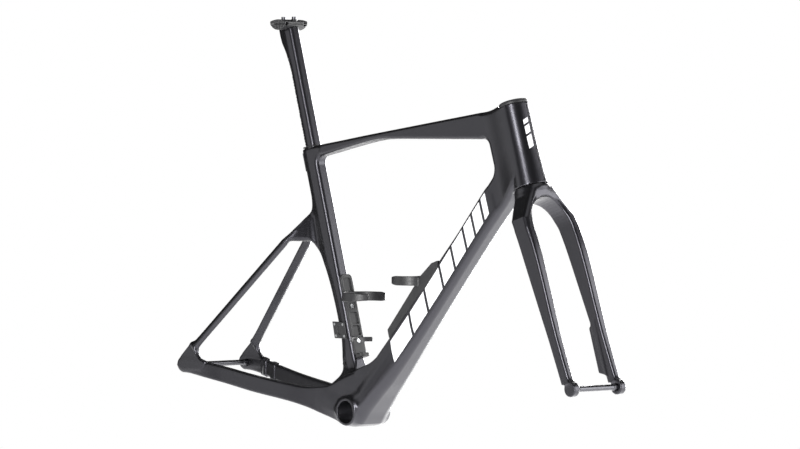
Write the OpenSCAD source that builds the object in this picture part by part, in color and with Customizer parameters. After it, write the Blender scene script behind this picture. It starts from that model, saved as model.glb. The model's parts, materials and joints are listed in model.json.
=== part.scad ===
// Aero road bicycle frameset: frame, fork, seatpost, headset, axles and bottle cages.
// Origin at the bottom bracket centre. +X forward, +Y to the rider's left, +Z up. Millimetres.

/* [Frame geometry] */
// Chainstay length, bottom bracket centre to rear axle
chainstay_length = 410; // [407:1:413]
// Height of the axles above the bottom bracket centre
bb_drop = 69; // [68:1:70]
// Head tube top centre, forward of the bottom bracket
reach = 384; // [382:1:386]
// Head tube top centre, above the bottom bracket
stack = 556; // [554:1:558]
// Length of the head tube along the steering axis
head_tube_length = 154; // [152:1:156]
// Steering axis angle from the horizontal
head_angle = 72.3; // [72.1:0.1:72.5]
// Seatpost axis angle from the horizontal
seat_angle = 73.5; // [73.3:0.1:73.7]

/* [Fork] */
// Crown seat to axle, along the steering axis
fork_length = 371.5; // [370:0.5:373]
// Axle offset forward of the steering axis
fork_rake = 45; // [44:1:46]
// Distance between the fork dropouts
front_spacing = 100; // [100:1:102]
// Half the distance between the leg centres
leg_offset = 55; // [54.5:0.5:56]

/* [Rear end] */
// Distance between the rear dropouts
rear_spacing = 142; // [142:1:144]
// Diameter of both thru axles
axle_diameter = 12; // [11:0.5:12]
// Gap between the tyre side of the frame and the rear axle
wheel_cutout_radius = 352; // [350:1:353]

/* [Bottom bracket] */
// Width of the bottom bracket shell
bb_width = 86.5; // [84:0.5:88]
// Bore of the bottom bracket shell
bb_bore = 41; // [40:0.5:42]
// Outside diameter of the shell
bb_outside = 49; // [48:0.5:50]

/* [Seatpost] */
// Depth of the seatpost section, front to back
post_depth = 32; // [31:0.5:32]
// Width of the seatpost section
post_width = 24; // [23:0.5:24]
// Height of the saddle rails above the bottom bracket
rail_height = 701; // [700:1:703]
// Distance between the saddle rails
rail_spacing = 44; // [43:0.5:45]

/* [Hidden] */
$fn = 64;

// Fits
fit_gap = 0.05;
free_gap = 0.3;
wall = 1.4;
corner_steps = 3;

// Directions in the side plane
head_up = [-cos(head_angle), 0, sin(head_angle)];
head_forward = [sin(head_angle), 0, cos(head_angle)];
seat_up = [-cos(seat_angle), 0, sin(seat_angle)];
seat_forward = [sin(seat_angle), 0, cos(seat_angle)];
head_top = [reach, 0, stack];
rear_axle_x = -sqrt(pow(chainstay_length, 2) - pow(bb_drop, 2));
axle_radius = axle_diameter / 2;

// Head tube and bearings, in the head frame: z = 0 at the top of the headset cover
head_radius = 26.6;
head_flare_radius = 30.5;
head_flare_height = 75;
head_back = 66;
head_back_half_width = 19;
head_bore_radius = 20.6;
upper_bearing_radius = 23;
lower_bearing_radius = 26;
bearing_height = 7;
race_wall = 2.1;
ball_radius = 1.7;
ball_count = 22;
cover_height = 7;
deck_z = -cover_height;
upper_bearing_z = deck_z - 8.6;
lower_bearing_z = -head_tube_length + 1.6;
steerer_radius = 14.3;
steerer_base_radius = 19.9;
steerer_wall = 2.6;
crown_z = -head_tube_length - 0.7;
steerer_top_z = deck_z + 2.2;

// Down tube: from the bottom bracket to the back of the head tube
down_foot = [4.5, 0, -1.3];
down_head = head_top - head_back * head_forward - 133.5 * head_up;
down_angle = atan2(down_head.z - down_foot.z, down_head.x - down_foot.x);
down_start = 90;
down_half_depth = 25;
down_half_width = 20;

// Seat tube, in the seat frame: z along the seatpost axis
seat_front = 17.3;
seat_back = -24.3;
seat_tube_top = 495;
seat_tube_half_width = 13.5;
seat_tube_foot_z = 80;
post_corner = 9;
post_bottom = 400;
post_pocket_bottom = 115;
clamp_pocket_bottom = 452;
cable_port_z = 92;

// Seatstay yoke and stays
yoke_x = -137;
yoke_underside_z = 304;
yoke_top_z = 358;
stay_slope = 44.8;
stay_top = [-175.8, 24.8, 311.5];
stay_foot = [-385, 72.8, 105];
stay_cant = 35;
stay_half_depth = 8;
stay_half_width = 5.4;

// Chainstays and rear dropouts
chainstay_front_x = -66;
chainstay_back_x = -362;
dropout_thickness = 9;

// Bottle cages
cage_base_thickness = 6;
cage_half_width = 14;
cage_ring_radius = 37;
cage_ring_wall = 3;
cage_ring_height = 17;
cage_mouth_angle = 60;
seat_cage_bolts = [126, 190];
down_cage_bolts = [225, 289];
seat_ring_z = 206.5;
down_ring_z = 240;
down_cage_wall_top = 39;

// Saddle rail clamp
tilt_axis = [-207.5, 0, rail_height + 15];
cradle_radius = 26;
clamp_half_width = rail_spacing / 2 + 6;
rail_radius = 3.5;

// Fork legs in the head frame
fork_axle_z = -head_tube_length - fork_length;
leg_top_z = -228;
leg_foot_z = -500;
fork_brake_z = -452;
fork_brake_spacing = 70;
brake_stay_spacing = 34;
brake_stay_x = -335;

carbon = [0.13, 0.13, 0.14];
satin_black = [0.06, 0.06, 0.065];
steel = [0.62, 0.63, 0.65];
dark_metal = [0.2, 0.2, 0.21];
rubber = [0.04, 0.04, 0.04];

// ---- Frames of reference ----
function on_head(x, y, z) = head_top + x * head_forward + [0, y, 0] + z * head_up;
function on_seat(x, y, z) = x * seat_forward + [0, y, 0] + z * seat_up;

module in_head() { translate(head_top) rotate([0, head_angle - 90, 0]) children(); }
module in_seat() { rotate([0, seat_angle - 90, 0]) children(); }
module in_down() { translate(down_foot) rotate([0, -down_angle, 0]) children(); }
module along_y(from, to) { translate([0, from, 0]) rotate([-90, 0, 0]) linear_extrude(to - from) children(); }
module along_x() { rotate([0, 90, 0]) children(); }
// Side outlines are drawn as [x, z]
module side_plate(points, from, to) { along_y(from, to) polygon([for (p = points) [p.x, -p.y]]); }

// ---- Lofts ----
// One ring: a rounded rectangle about c, with half sizes a along u and b along v
function rounded_ring(c, u, v, a, b, r) = [
    for (q = [0:3], i = [0:corner_steps])
        let (turn = 90 * (q + i / corner_steps),
             side_u = (q == 0 || q == 3) ? 1 : -1,
             side_v = (q < 2) ? 1 : -1)
        c + (side_u * (a - r) + r * cos(turn)) * u + (side_v * (b - r) + r * sin(turn)) * v];

function total(v, i = 0) = i == len(v) ? [0, 0, 0] : v[i] + total(v, i + 1);
function middle(ring) = total(ring) / len(ring);
function swirl(ring) = let (c = middle(ring), n = len(ring))
    total([for (i = [0:n - 1]) cross(ring[i] - c, ring[(i + 1) % n] - c)]);
function flipped(ring) = [for (i = [len(ring) - 1:-1:0]) ring[i]];
function runs_backwards(rings) = swirl(rings[0]) * (middle(rings[1]) - middle(rings[0])) < 0;

function skin_faces(n, m, first) = [
    for (k = [0:m - 2], i = [0:n - 1], half = [0:1])
        let (j = (i + 1) % n, a = first + k * n + i, b = first + k * n + j,
             c = first + (k + 1) * n + j, d = first + (k + 1) * n + i)
        half == 0 ? [a, c, b] : [a, d, c]];
function reversed_faces(faces) = [for (f = faces) [f[0], f[2], f[1]]];

// Closed solid through the rings
module loft(rings) {
    even = runs_backwards(rings) ? [for (ring = rings) flipped(ring)] : rings;
    n = len(even[0]);
    m = len(even);
    ends = [[for (i = [0:n - 1]) i], [for (i = [n - 1:-1:0]) (m - 1) * n + i]];
    polyhedron([for (ring = even) each ring], concat(skin_faces(n, m, 0), ends));
}

// Open-ended tube between outer and inner rings
module loft_tube(outer, inner) {
    back = runs_backwards(outer);
    skin = back ? [for (ring = outer) flipped(ring)] : outer;
    core = back ? [for (ring = inner) flipped(ring)] : inner;
    n = len(skin[0]);
    m = len(skin);
    lid = (m - 1) * n;
    ends = [for (i = [0:n - 1], half = [0:3])
        let (j = (i + 1) % n, s = m * n)
        half == 0 ? [i, j, s + j] : half == 1 ? [i, s + j, s + i] :
        half == 2 ? [lid + i, s + lid + j, lid + j] : [lid + i, s + lid + i, s + lid + j]];
    faces = concat(skin_faces(n, m, 0), reversed_faces(skin_faces(n, m, m * n)), ends);
    polyhedron([for (ring = concat(skin, core)) each ring], faces);
}

// A tube whose sections are [centre, depth direction, half depth, half width, corner radius]
function section_ring(s, w) =
    rounded_ring(s[0], s[1], [0, 1, 0], s[2] - w, s[3] - w, max(s[4] - w, 1));
module swept_tube(sections, thickness) {
    loft_tube([for (s = sections) section_ring(s, 0)], [for (s = sections) section_ring(s, thickness)]);
}

// ---- Frame tubes ----
module head_tube() {
    color(carbon) in_head() difference() {
        union() {
            translate([0, 0, -head_tube_length]) cylinder(r = head_radius, h = head_tube_length - 1);
            translate([0, 0, -head_tube_length])
                cylinder(r1 = head_flare_radius, r2 = head_radius, h = head_flare_height);
            translate([0, 0, -head_tube_length]) linear_extrude(head_tube_length)
                polygon([[0, 26], [-head_back, head_back_half_width],
                    [-head_back, -head_back_half_width], [0, -26]]);
        }
        translate([0, 0, deck_z]) cylinder(r = head_radius + 0.4, h = 20);
        translate([0, 0, -head_tube_length - 1]) cylinder(r = head_bore_radius, h = head_tube_length + 2);
        translate([0, 0, upper_bearing_z]) cylinder(r = upper_bearing_radius, h = 20);
        translate([0, 0, -head_tube_length - 1])
            cylinder(r = lower_bearing_radius, h = 1 + 1.6 + bearing_height);
        translate([0, 0, 12 - head_tube_length]) linear_extrude(head_tube_length - 24)
            polygon([[-12, 17], [3 - head_back, 16], [3 - head_back, -16], [-12, -17]]);
    }
}

top_tube_sections = [
    [on_seat(seat_front, 0, 482.5), seat_up, 13.4, 13.4, 6],
    [[-60, 0, 478.5], [0, 0, 1], 10.5, 16, 6],
    [[0, 0, 489], [0, 0, 1], 9, 17, 5],
    [[50, 0, 497], [0, 0, 1], 8, 17.5, 5],
    [[100, 0, 501.2], [0, 0, 1], 9.8, 17.5, 6],
    [[200, 0, 508.2], [0, 0, 1], 16.8, 18, 7],
    [[300, 0, 514.8], [0, 0, 1], 23.3, 18.5, 8],
    [on_head(-head_back, 0, -22), head_up, 24.5, 19, 8]];
module top_tube() { color(carbon) swept_tube(top_tube_sections, wall); }

function on_down(s) = down_foot + s * [cos(down_angle), 0, sin(down_angle)];
down_up = [-sin(down_angle), 0, cos(down_angle)];
down_tube_sections = [
    [on_down(down_start), down_up, down_half_depth, 24, 11],
    [on_down(150), down_up, down_half_depth, 21, 10],
    [on_down(300), down_up, down_half_depth, down_half_width, 10],
    [on_down(450), down_up, down_half_depth, down_half_width, 10],
    [down_head, head_up, 30.5, head_back_half_width, 10]];
module down_tube() {
    color(carbon) difference() {
        swept_tube(down_tube_sections, wall);
        for (s = down_cage_bolts)
            in_down() translate([s, 0, down_half_depth - 8]) cylinder(r = 3.6, h = 12);
    }
}

// Back edge of the seat tube: an arc around the wheel low down, then parallel to the post
function seat_line_x(z, x) = (x - z * cos(seat_angle)) / sin(seat_angle);
function wheel_arc_x(z) = rear_axle_x + sqrt(pow(wheel_cutout_radius, 2) - pow(z - bb_drop, 2));
function seat_section(z, back_x) = let (front_x = seat_line_x(z, seat_front))
    [[(front_x + back_x) / 2, 0, z], [1, 0, 0], (front_x - back_x) / 2, seat_tube_half_width, 8];
seat_tube_sections = [
    for (z = [seat_tube_foot_z, 110, 140, 170, 210, 250, 280])
        seat_section(z, min(wheel_arc_x(z), -55)),
    for (z = [yoke_underside_z, yoke_top_z]) seat_section(z, yoke_x),
    seat_section(385, seat_line_x(385, seat_back)),
    [on_seat((seat_front + seat_back) / 2, 0, seat_tube_top), seat_forward,
        (seat_front - seat_back) / 2, seat_tube_half_width, 8]];
module post_outline(grow) {
    a = post_depth / 2 - post_corner;
    b = post_width / 2 - post_corner;
    r = post_corner + grow;
    square([2 * a, 2 * (b + r)], center = true);
    square([2 * (a + r), 2 * b], center = true);
    for (x = [-a, a], y = [-b, b]) translate([x, y]) circle(r = r);
}
module seat_tube() {
    color(carbon) difference() {
        loft([for (s = seat_tube_sections) section_ring(s, 0)]);
        in_seat() {
            translate([0, 0, post_pocket_bottom])
                linear_extrude(seat_tube_top) post_outline(fit_gap);
            translate([seat_back + 2, -7.5, clamp_pocket_bottom]) cube([10, 15, 60]);
            for (z = seat_cage_bolts) translate([9, 0, z]) along_x() cylinder(r = 3.6, h = 12);
            translate([-12, 0, cable_port_z]) rotate([90, 0, 0]) cylinder(r = 3, h = 30);
        }
    }
}

// Lug around the bottom bracket: a narrow upper part and a wide lower part
down_corner_top = on_down(down_start) + down_half_depth * down_up;
down_corner_low = on_down(down_start) - down_half_depth * down_up;
lug_outline = [[-55, seat_tube_foot_z], [seat_line_x(seat_tube_foot_z, seat_front), seat_tube_foot_z],
    [8, 74], [down_corner_top.x, down_corner_top.z], [down_corner_low.x, down_corner_low.z],
    [62, 10], [42, -13], [20, -22], [0, -24.4], [-27, -22], [chainstay_front_x, -9],
    [chainstay_front_x, 42], [-60, 58]];
wide_outline = [[-27, -22], [0, -24.4], [20, -21], [36, -12], [46, 14], [38, 40], [5, 56], [-40, 54],
    [chainstay_front_x, 42], [chainstay_front_x, -9]];
module bottom_bracket_shell() {
    color(carbon) difference() {
        union() {
            side_plate(lug_outline, -21, 21);
            side_plate(wide_outline, -38, 38);
            rotate([90, 0, 0]) cylinder(r = bb_outside / 2, h = bb_width, center = true);
        }
        rotate([90, 0, 0]) cylinder(r = bb_bore / 2, h = bb_width + 2, center = true);
        translate([30, 0, 34]) rotate([0, -down_angle, 0]) translate([0, -17, -12]) cube([40, 34, 30]);
        translate([-46, -10, 26]) cube([36, 20, 45]);
    }
}

// Chainstay stations: [x, y, z, half height, half width]
chainstay_stations = [[chainstay_front_x, 31, 16.5, 25.5, 7], [-107, 35.5, 21, 17.5, 8],
    [-151, 42, 28.5, 16, 8], [-238, 53.5, 41, 15.5, 7], [-310, 63.5, 54, 15, 6.5],
    [chainstay_back_x, 74.5, 63, 14.5, 5.5]];
function chainstay_rings(side, w) = [for (s = chainstay_stations)
    rounded_ring([s[0], side * s[1], s[2]], [0, 0, 1], [0, 1, 0], s[3] - w, s[4] - w, max(4.5 - w, 1))];
module chainstay(side) { loft_tube(chainstay_rings(side, 0), chainstay_rings(side, wall)); }
module chainstay_right() { color(carbon) chainstay(-1); }
module chainstay_left() {
    color(carbon) difference() {
        chainstay(1);
        brake_stay_places() cylinder(r = 4, h = 60, center = true);
    }
}
module brake_stay_places() {
    for (dx = [-1, 1] * brake_stay_spacing / 2)
        translate([brake_stay_x + dx * cos(9), 68.8, 58.5 - dx * sin(9)]) rotate([0, 9, 0]) children();
}

stay_up = [-sin(stay_slope), 0, cos(stay_slope)];
yoke_sections = [
    [[yoke_x, 0, (yoke_underside_z + yoke_top_z) / 2], [0, 0, 1],
        (yoke_top_z - yoke_underside_z) / 2, seat_tube_half_width, 6],
    [[-154, 0, 322], [0, 0, 1], 18, 20, 6],
    [[stay_top.x, 0, stay_top.z], stay_up, 9, 33, 6]];
module seatstay_yoke() { color(carbon) swept_tube(yoke_sections, 2.5); }

function stay_ring(side, t, a, b) = let (
    c = stay_top + t * (stay_foot - stay_top),
    across = [0, side, 0],
    u = cos(stay_cant) * stay_up - sin(stay_cant) * across,
    v = sin(stay_cant) * stay_up + cos(stay_cant) * across)
    rounded_ring([c.x, side * c.y, c.z], u, v, a, b, b - 0.6);
module seatstay(side) {
    loft_tube([for (t = [0, 0.5, 1]) stay_ring(side, t, stay_half_depth, stay_half_width)],
        [for (t = [0, 0.5, 1]) stay_ring(side, t, stay_half_depth - wall, stay_half_width - wall)]);
}
module seatstay_left() { color(carbon) seatstay(1); }
module seatstay_right() { color(carbon) seatstay(-1); }

// Dropout plate joining the foot of the seatstay to the end of the chainstay
dropout_back = stay_foot + 9 * stay_up;
dropout_front = stay_foot - 9 * stay_up;
dropout_outline = [[-429, 68], [-425, 80], [-414, 92], [dropout_back.x, dropout_back.z],
    [dropout_front.x, dropout_front.z], [-373, 86], [chainstay_back_x, 77.5],
    [chainstay_back_x, 48.5], [-414, 53], [-425, 59]];
module rear_dropout(side, bore_depth) {
    inner = rear_spacing / 2;
    near = side > 0 ? inner : -inner - dropout_thickness;
    difference() {
        side_plate(dropout_outline, near, near + dropout_thickness);
        translate([rear_axle_x, side * (inner - 1), bb_drop]) rotate([-side * 90, 0, 0])
            cylinder(r = axle_radius + fit_gap, h = bore_depth + 1);
    }
}
module rear_dropout_left() { color(carbon) rear_dropout(1, dropout_thickness + 1); }
module rear_dropout_right() { color(carbon) rear_dropout(-1, 6.5); }

// ---- Headset ----
module race_ring(inner, outer, height) {
    difference() {
        cylinder(r = outer, h = height);
        translate([0, 0, -1]) cylinder(r = inner, h = height + 2);
    }
}
module ball_groove(pitch) {
    translate([0, 0, bearing_height / 2]) rotate_extrude() translate([pitch, 0]) circle(r = ball_radius + fit_gap);
}
module outer_race(radius) {
    difference() {
        race_ring(radius - race_wall, radius, bearing_height);
        ball_groove(radius - 3);
    }
}
module inner_race(radius) {
    difference() {
        race_ring(radius - 6, radius - 6 + race_wall, bearing_height);
        ball_groove(radius - 3);
    }
}
module ball_set(radius) {
    for (i = [0:ball_count - 1]) rotate([0, 0, 360 * i / ball_count])
        translate([radius - 3, 0, bearing_height / 2]) sphere(r = ball_radius);
}
module upper_bearing_outer_race() {
    color(steel) in_head() translate([0, 0, upper_bearing_z]) outer_race(upper_bearing_radius);
}
module lower_bearing_outer_race() {
    color(steel) in_head() translate([0, 0, lower_bearing_z]) outer_race(lower_bearing_radius);
}
module upper_bearing_inner_race() {
    color(steel) in_head() translate([0, 0, upper_bearing_z]) inner_race(upper_bearing_radius);
}
module lower_bearing_inner_race() {
    color(steel) in_head() translate([0, 0, lower_bearing_z]) inner_race(lower_bearing_radius);
}
module upper_bearing_balls() {
    color(steel) in_head() translate([0, 0, upper_bearing_z]) ball_set(upper_bearing_radius);
}
module lower_bearing_balls() {
    color(steel) in_head() translate([0, 0, lower_bearing_z]) ball_set(lower_bearing_radius);
}
module crown_race() {
    color(steel) in_head() translate([0, 0, crown_z]) difference() {
        cylinder(r1 = 22.3, r2 = 21.4, h = lower_bearing_z - crown_z);
        translate([0, 0, -1]) cylinder(r = steerer_base_radius, h = 6);
    }
}
module compression_ring() {
    color(dark_metal) in_head() difference() {
        translate([0, 0, upper_bearing_z]) cylinder(r = upper_bearing_radius - 6, h = bearing_height + 0.9);
        translate([0, 0, upper_bearing_z - 1]) cylinder(r = steerer_radius, h = bearing_height + 4);
    }
}
module headset_cover() {
    color(satin_black) in_head() difference() {
        union() {
            translate([0, 0, deck_z]) cylinder(r = head_radius, h = cover_height - 1.5);
            translate([0, 0, -1.5]) cylinder(r1 = head_radius, r2 = head_radius - 1.5, h = 1.5);
        }
        translate([0, 0, deck_z - 1]) cylinder(r = 17.5, h = cover_height + 2);
    }
}
module steerer_cap() {
    color(satin_black) in_head() translate([0, 0, deck_z + 2.4]) difference() {
        cylinder(r = 17.2, h = cover_height - 2.6);
        translate([0, 0, 2]) cylinder(r = 4.5, h = 6);
        translate([0, 0, -1]) cylinder(r = 2.6, h = 6);
    }
}
module steerer_expander() {
    color(dark_metal) in_head() translate([0, 0, deck_z - 42]) difference() {
        cylinder(r = steerer_radius - steerer_wall, h = 40);
        translate([0, 0, -1]) cylinder(r = 2.6, h = 42);
        for (turn = [0, 60, 120]) rotate([0, 0, turn]) translate([-20, -0.6, -1]) cube([40, 1.2, 30]);
    }
}
module expander_bolt() {
    color(steel) in_head() translate([0, 0, deck_z - 36]) difference() {
        union() {
            cylinder(r = 2.5, h = 40);
            translate([0, 0, 40.5]) cylinder(r = 4.3, h = 2.6);
            translate([0, 0, 39]) cylinder(r = 2.5, h = 2);
        }
        translate([0, 0, 41.4]) cylinder(r = 2, h = 4, $fn = 6);
    }
}

// ---- Fork ----
steerer_profile = [[steerer_base_radius, crown_z - 18], [steerer_base_radius, crown_z + 10],
    [steerer_radius, -60], [steerer_radius, steerer_top_z], [steerer_radius - steerer_wall, steerer_top_z],
    [steerer_radius - steerer_wall, -60], [steerer_base_radius - 3, crown_z + 10],
    [steerer_base_radius - 3, crown_z - 18]];
module steerer_tube() { color(carbon) in_head() rotate_extrude() polygon(steerer_profile); }

// Arch stations from the middle outwards: [y, z, x, half thickness, half depth, tangent angle]
arch_stations = [[0, -167, 3, 11.5, 25, 0], [22, -172, 4, 13, 24, -20], [40, -186, 6, 13.5, 22, -52],
    [leg_offset - 3.5, -207, 9, 11.5, 20.5, -75], [leg_offset, leg_top_z, 14, 9.2, 19, -90]];
function arch_ring(s, side) = rounded_ring([s[2], side * s[0], s[1]], [1, 0, 0],
    [0, -side * sin(s[5]), cos(s[5])], s[4], s[3], 7);
arch_rings = concat([for (i = [4:-1:1]) arch_ring(arch_stations[i], -1)],
    [for (i = [0:4]) arch_ring(arch_stations[i], 1)]);
module fork_crown() {
    color(carbon) in_head() difference() {
        union() {
            loft(arch_rings);
            translate([0, 0, crown_z - 14]) cylinder(r = 30.2, h = 14);
        }
        translate([0, 0, crown_z - 18]) cylinder(r = steerer_base_radius, h = 30);
    }
}

// Leg stations: [z, x, y beyond the leg offset, half depth, half width]
leg_stations = [[leg_top_z, 14, 0, 19, 9.2], [-275, 20, 0.3, 18, 9], [-330, 24.5, 0.6, 16, 8.5],
    [-383, 28, 0.9, 13.5, 8], [-445, 32.5, 1.1, 11.3, 7.2], [leg_foot_z, 37, 1.3, 11, 6.6]];
function leg_rings(side, w) = [for (s = leg_stations) rounded_ring([s[1], side * (leg_offset + s[2]), s[0]],
    [1, 0, 0], [0, 1, 0], s[3] - w, s[4] - w, 6 - w)];
module fork_leg(side) { loft_tube(leg_rings(side, 0), leg_rings(side, wall)); }
module fork_leg_right() { color(carbon) in_head() fork_leg(-1); }
module fork_leg_left() {
    color(carbon) in_head() difference() {
        union() {
            fork_leg(1);
            translate([12, leg_offset - 5.5, fork_brake_z - 44]) cube([13, 13, 88]);
        }
        fork_brake_places() cylinder(r = 4, h = 14);
        translate([23.5, leg_offset - 3.5, fork_brake_z - 46]) cube([6, 9, 92]);
    }
}
module fork_brake_places() {
    for (dz = [-1, 1] * fork_brake_spacing / 2)
        translate([11.9, leg_offset + 1, fork_brake_z + dz]) along_x() children();
}
module fork_brake_inserts() {
    color(steel) in_head() fork_brake_places() difference() {
        translate([0, 0, 0.1]) cylinder(r = 4, h = 10);
        translate([0, 0, -1]) cylinder(r = 2.5, h = 12);
    }
}
module fork_dropout(side, bore_depth) {
    inner = front_spacing / 2;
    near = side > 0 ? inner : -inner - 12.5;
    difference() {
        union() {
            translate([fork_rake, near, fork_axle_z]) rotate([-90, 0, 0]) cylinder(r = 13, h = 12.5);
            side_plate([[26, leg_foot_z], [48, leg_foot_z], [57.5, fork_axle_z + 3],
                [33, fork_axle_z - 4]], near, near + 12.5);
        }
        translate([fork_rake, side * (inner - 1), fork_axle_z]) rotate([-side * 90, 0, 0])
            cylinder(r = axle_radius + fit_gap, h = bore_depth + 1);
    }
}
module fork_dropout_left() { color(carbon) in_head() fork_dropout(1, 14); }
module fork_dropout_right() { color(carbon) in_head() fork_dropout(-1, 10); }

// Thru axle: threaded end on the right, flanged head on the left
module thru_axle(spacing, right_depth, left_depth) {
    half = spacing / 2;
    rotate([-90, 0, 0]) difference() {
        union() {
            translate([0, 0, -half - right_depth]) cylinder(r = axle_radius, h = spacing + right_depth + left_depth);
            translate([0, 0, half + left_depth + free_gap]) cylinder(r1 = 9, r2 = 7.5, h = 3.2);
            translate([0, 0, half + left_depth]) cylinder(r = axle_radius, h = 1);
        }
        translate([0, 0, half + left_depth - 4]) cylinder(r = 3.5, h = 12, $fn = 6);
        translate([0, 0, -half - right_depth - 1]) cylinder(r = 3.8, h = spacing - 10);
    }
}
module front_axle() {
    color(dark_metal) translate(on_head(fork_rake, 0, fork_axle_z)) thru_axle(front_spacing, 9.5, 12.5);
}
module rear_axle() {
    color(dark_metal) translate([rear_axle_x, 0, bb_drop]) thru_axle(rear_spacing, 6, dropout_thickness);
}

// ---- Seatpost and saddle clamp ----
post_head_outline = [[-15.9, 640], [15.9, 640], [15.9, 716], [-33, 716], [-31, 704], [-24, 690],
    [-18, 672]];
module seatpost() {
    color(carbon) difference() {
        in_seat() difference() {
            union() {
                translate([0, 0, post_bottom]) linear_extrude(716 - post_bottom) post_outline(0);
                side_plate(post_head_outline, -post_width / 2 + 2, post_width / 2 - 2);
            }
            translate([0, 0, post_bottom - 1]) linear_extrude(270) post_outline(-2.4);
        }
        translate(tilt_axis) rotate([90, 0, 0])
            cylinder(r = cradle_radius + 0.1, h = 90, center = true, $fn = 96);
        translate([-300, -40, rail_height]) cube([200, 80, 60]);
    }
}
module rails(height) {
    for (side = [-1, 1]) translate([tilt_axis.x, side * rail_spacing / 2, rail_height])
        along_x() cylinder(r = rail_radius, h = height, center = true);
}
module clamp_bolt_places() {
    for (dx = [-14.5, 14.5]) translate([tilt_axis.x + dx, 0, rail_height]) children();
}
module rail_clamp_cradle() {
    color(satin_black) difference() {
        intersection() {
            translate(tilt_axis) rotate([90, 0, 0])
                cylinder(r = cradle_radius, h = 2 * clamp_half_width, center = true, $fn = 96);
            translate([tilt_axis.x - 22, -clamp_half_width, rail_height - 14])
                cube([44, 2 * clamp_half_width, 14 - free_gap]);
        }
        rails(60);
        for (side = [-1, 1]) translate([tilt_axis.x, side * rail_spacing / 2, rail_height - 7.5])
            along_x() cylinder(r = 2.2, h = 60, center = true);
        clamp_bolt_places() translate([0, 0, -20]) cylinder(r = 2.5, h = 30);
    }
}
module rail_clamp_top() {
    color(satin_black) difference() {
        intersection() {
            translate([tilt_axis.x, 0, rail_height + 9 - 60]) rotate([90, 0, 0])
                cylinder(r = 60, h = 2 * clamp_half_width, center = true, $fn = 96);
            translate([tilt_axis.x - 21, -clamp_half_width, rail_height + free_gap])
                cube([42, 2 * clamp_half_width, 12]);
        }
        rails(60);
        clamp_bolt_places() translate([0, 0, -20]) cylinder(r = 2.7, h = 40);
    }
}
module rail_clamp_bolts() {
    color(dark_metal) clamp_bolt_places() difference() {
        union() {
            translate([0, 0, -5]) cylinder(r = 2.5, h = 14);
            translate([0, 0, 8.9]) cylinder(r = 4.2, h = 4.6);
        }
        translate([0, 0, 10.5]) cylinder(r = 2, h = 6, $fn = 6);
    }
}
module seat_clamp_wedge() {
    color(dark_metal) in_seat() difference() {
        translate([-22.2, -7, clamp_pocket_bottom + 4]) cube([6, 14, 34]);
        translate([-19.2, 0, clamp_pocket_bottom]) cylinder(r = 2, h = 60);
    }
}
module seat_clamp_bolt() {
    color(steel) in_seat() translate([-19.2, 0, clamp_pocket_bottom + 6]) difference() {
        union() {
            cylinder(r = 2, h = 33);
            translate([0, 0, 32.1]) cylinder(r = 2.9, h = 3);
        }
        translate([0, 0, 33.2]) cylinder(r = 1.4, h = 4, $fn = 6);
    }
}

// ---- Front derailleur mount on the right of the seat tube ----
function mount_back_x(z) = wheel_arc_x(z) - 3;
mount_outline = [[mount_back_x(130), 130], [mount_back_x(160), 160], [mount_back_x(160) + 33, 160],
    [mount_back_x(130) + 33, 130]];
module mount_screw_places() {
    for (z = [134.5, 155.5], dx = [6, 28])
        translate([mount_back_x(z) + dx, -seat_tube_half_width, z]) rotate([90, 0, 0]) children();
}
module front_derailleur_mount() {
    color(satin_black) difference() {
        side_plate(mount_outline, -seat_tube_half_width - 3, -seat_tube_half_width);
        mount_screw_places() translate([0, 0, -1]) cylinder(r = 1.3, h = 8);
        translate([mount_back_x(145) + 17, -10, 145]) rotate([90, 0, 0]) cylinder(r = 2.5, h = 10);
    }
}
module front_derailleur_screws() {
    color(steel) mount_screw_places() difference() {
        union() {
            cylinder(r = 1.3, h = 3.2);
            translate([0, 0, 3]) cylinder(r = 2.4, h = 1.2);
        }
        translate([0, 0, 3.4]) cylinder(r = 1, h = 2, $fn = 6);
    }
}

// ---- Bottle cages ----
module cage_ring(z) {
    rotate([0, 0, cage_mouth_angle / 2]) rotate_extrude(angle = 360 - cage_mouth_angle)
        translate([cage_ring_radius, z]) square([cage_ring_wall, cage_ring_height]);
}
function cage_base_x(z) = seat_line_x(z, seat_front + cage_base_thickness);
module bottle_cage_seat_tube() {
    color(satin_black) difference() {
        union() {
            in_seat() translate([seat_front, -cage_half_width, 100])
                cube([cage_base_thickness, 2 * cage_half_width, 150]);
            in_seat() translate([seat_front, -11, 94]) cube([17, 22, 7]);
            translate([cage_base_x(seat_ring_z) + cage_ring_radius, 0, seat_ring_z])
                cage_ring(-cage_ring_height / 2);
            for (turn = [138, 182]) translate([cage_base_x(129) + cage_ring_radius, 0, 125])
                rotate([0, 0, turn]) rotate_extrude(angle = 40)
                    translate([cage_ring_radius, 0]) square([cage_ring_wall, 8]);
        }
        in_seat() {
            for (z = [[134, 182], [200, 243]])
                translate([seat_front + 2.5, -9, z[0]]) cube([8, 18, z[1] - z[0]]);
            for (z = seat_cage_bolts) {
                translate([seat_front - 1, 0, z]) along_x() cylinder(r = 2.6, h = 12);
                translate([seat_front + 3, 0, z]) along_x() cylinder(r = 5, h = 30);
            }
            translate([-30, -60, 0]) cube([30 + seat_front, 120, 400]);
        }
    }
}
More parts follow.
